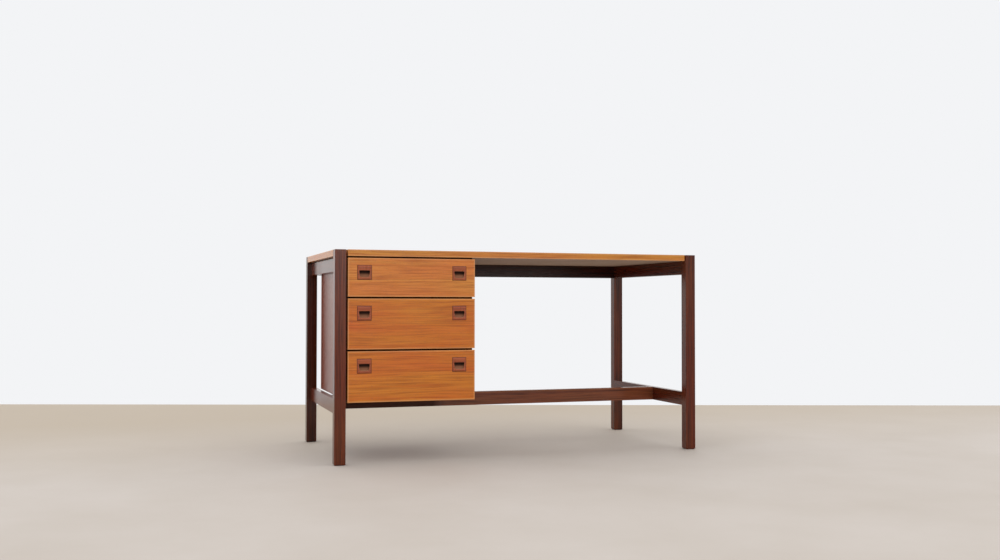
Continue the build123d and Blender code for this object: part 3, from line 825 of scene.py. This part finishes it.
# %% [markdown]
# ## The screws
# All screws are plated steel that has gone dull: a metal whose colour and roughness vary a little
# from patch to patch. They sit in counterbores and hardly show.


# %% Finish the screws
plating_scale = 420.0
plating_pale = colour(176, 172, 160)
plating_deep = colour(126, 120, 108)
plating_roughness = (0.3, 0.7, 0.28, 0.5)


def steel_material():
    """Dull plated steel: its darker patches are also the rougher ones."""
    material, tree, shader, position = new_material("plated_steel")
    patches = noise(tree, position, plating_scale, 4.0, 0.6)
    tree.links.new(mix_colour(tree, patches, plating_pale, plating_deep),
                   shader.inputs["Base Color"])
    tree.links.new(remap(tree, patches, *plating_roughness), shader.inputs["Roughness"])
    shader.inputs["Metallic"].default_value = 1.0
    return material


steel = steel_material()
for node_name in nodes:
    if node_name.endswith("screws"):
        clothe(node_name, steel)
unfinished = [name for name, piece in nodes.items() if not piece.data.materials]
print("pieces without a finish:", unfinished)

# %% [markdown]
# ## Camera
# The desk is seen from the front, a little from the left and from just below the height of the
# top, through a normal lens.

# %% Place the camera
camera_turn = math.radians(18.4)
camera_tilt = math.radians(1.24)
camera_roll = math.radians(-0.066)
camera_place = Vector((cad_low.x - 0.6194, cad_low.y - 3.6745, cad_low.z + 0.5637))
camera_data = bpy.data.cameras.new("camera")
camera_data.lens = 38.28
camera_data.sensor_width = 36.0
camera = bpy.data.objects.new("camera", camera_data)
camera.location = camera_place
camera.rotation_euler = (math.pi / 2 + camera_tilt, camera_roll, -camera_turn)
bpy.context.scene.collection.objects.link(camera)
bpy.context.scene.camera = camera
print("lens:", camera_data.lens, "mm, distance:", round((camera_place - cad_low).length, 2), "m")

# %% [markdown]
# ## Floor
# A pale concrete floor ends a little behind the desk, where a white surrounding takes over. Broad
# clouds keep it from looking like paper, and from the desk's front backwards it is painted darker
# and warmer, as painted shade of the desk.

# %% Build the floor
view_along = Vector((math.sin(camera_turn), math.cos(camera_turn), 0.0))
view_across = Vector((view_along.y, -view_along.x, 0.0))
floor_end = 5.9
floor_start = -6.0
floor_half = 14.0


def build_floor():
    """A flat rectangle square to the view, from behind the camera to just behind the desk."""
    base = Vector((camera_place.x, camera_place.y, cad_low.z))
    corners = [base + view_along * along + view_across * across
               for along, across in ((floor_start, -floor_half), (floor_start, floor_half),
                                     (floor_end, floor_half), (floor_end, -floor_half))]
    mesh = bpy.data.meshes.new("floor")
    mesh.from_pydata([tuple(c) for c in corners], [], [(0, 1, 2, 3)])
    floor = bpy.data.objects.new("floor", mesh)
    bpy.context.scene.collection.objects.link(floor)
    return floor


floor = build_floor()
print("floor:", floor_end - floor_start, "by", 2 * floor_half, "m")

# %% [markdown]
# Concrete is never one grey: it has broad clouds. A darker, warmer tone is painted over it from the
# desk's front backwards as painted shade.

# %% Finish the floor
cloud_scale = 1.7
cloud_range = (0.3, 0.7)
concrete_pale = colour(196, 189, 183)
concrete_deep = colour(188, 180, 172)
under_desk_shade_range = (cad_low.y - 0.1, cad_high.y + 0.9, 0.0, 0.85)
under_desk_shade_tone = colour(176, 163, 145)
concrete_roughness = 0.75


def concrete_material():
    """Clouded concrete, painted darker and warmer from the desk's front backwards as painted shade.
    """
    material, tree, shader, position = new_material("concrete")
    clouds = remap(tree, noise(tree, position, cloud_scale, 6.0, 0.6), *cloud_range)
    clouded = mix_colour(tree, clouds, concrete_pale, concrete_deep)
    behind = add_node(tree, "ShaderNodeSeparateXYZ", {"Vector": position}).outputs[1]
    under_desk_shade = remap(tree, behind, *under_desk_shade_range)
    tree.links.new(mix_colour(tree, under_desk_shade, clouded, under_desk_shade_tone), shader.inputs["Base Color"])
    shader.inputs["Roughness"].default_value = concrete_roughness
    return material


floor.data.materials.append(concrete_material())
# Painted shade: the floor's darker, warmer tone is nearly full from this y backwards.
print("the dust is thickest from y =", round(under_desk_shade_range[1], 2))

# %% [markdown]
# ## Light
# Lamps could light the desk, but a soft room is easier to build as a surrounding: pale all round,
# brighter overhead and towards the wall behind, darker below the horizon, and with one low band
# of bright windows in front. Polished faces that look towards the wall take up its glare, and the
# windows give the upper parts of the front a faint sheen. The camera sees plain white instead.


# %% Light the scene
wall_glare = (0.2, 0.6, 0.85, 1.02)
below_horizon = (-0.06, 0.04, 0.7, 1.0)
overhead_light = (0.1, 0.8, 0.0, 0.4)
window_ahead = (-0.92, -0.98, 0.0, 1.0)
window_sill = (-0.01, 0.03, 0.0, 2.1)
window_head = (0.08, 0.16, 1.0, 0.0)
light_tint = (1.0, 0.985, 0.97, 1.0)
backdrop_tone = colour(243, 244, 246)


def build_surroundings():
    """White for the camera; for lighting, pale all round with a band of windows in front."""
    world = bpy.data.worlds.new("surroundings")
    bpy.context.scene.world = world
    world.use_nodes = True
    tree = world.node_tree
    tree.nodes.clear()
    direction = add_node(tree, "ShaderNodeTexCoord").outputs["Generated"]
    parts = add_node(tree, "ShaderNodeSeparateXYZ", {"Vector": direction}).outputs
    wall = math_step(tree, "MULTIPLY", remap(tree, parts[1], *wall_glare),
                     remap(tree, parts[2], *below_horizon))
    overhead = remap(tree, parts[2], *overhead_light)
    window = math_step(tree, "MULTIPLY", remap(tree, parts[1], *window_ahead),
                       remap(tree, parts[2], *window_sill))
    window = math_step(tree, "MULTIPLY", window, remap(tree, parts[2], *window_head))
    strength = math_step(tree, "ADD", math_step(tree, "ADD", wall, overhead), window)
    lighting = add_node(tree, "ShaderNodeBackground", {"Color": light_tint, "Strength": strength})
    backdrop = add_node(tree, "ShaderNodeBackground", {"Color": backdrop_tone, "Strength": 1.0})
    path = add_node(tree, "ShaderNodeLightPath").outputs["Is Camera Ray"]
    mixed = add_node(tree, "ShaderNodeMixShader", {0: path, 1: lighting.outputs[0],
                     2: backdrop.outputs[0]})
    add_node(tree, "ShaderNodeOutputWorld", {"Surface": mixed.outputs[0]})


build_surroundings()
bpy.context.scene.view_settings.view_transform = "Standard"
print("world:", bpy.context.scene.world.name)
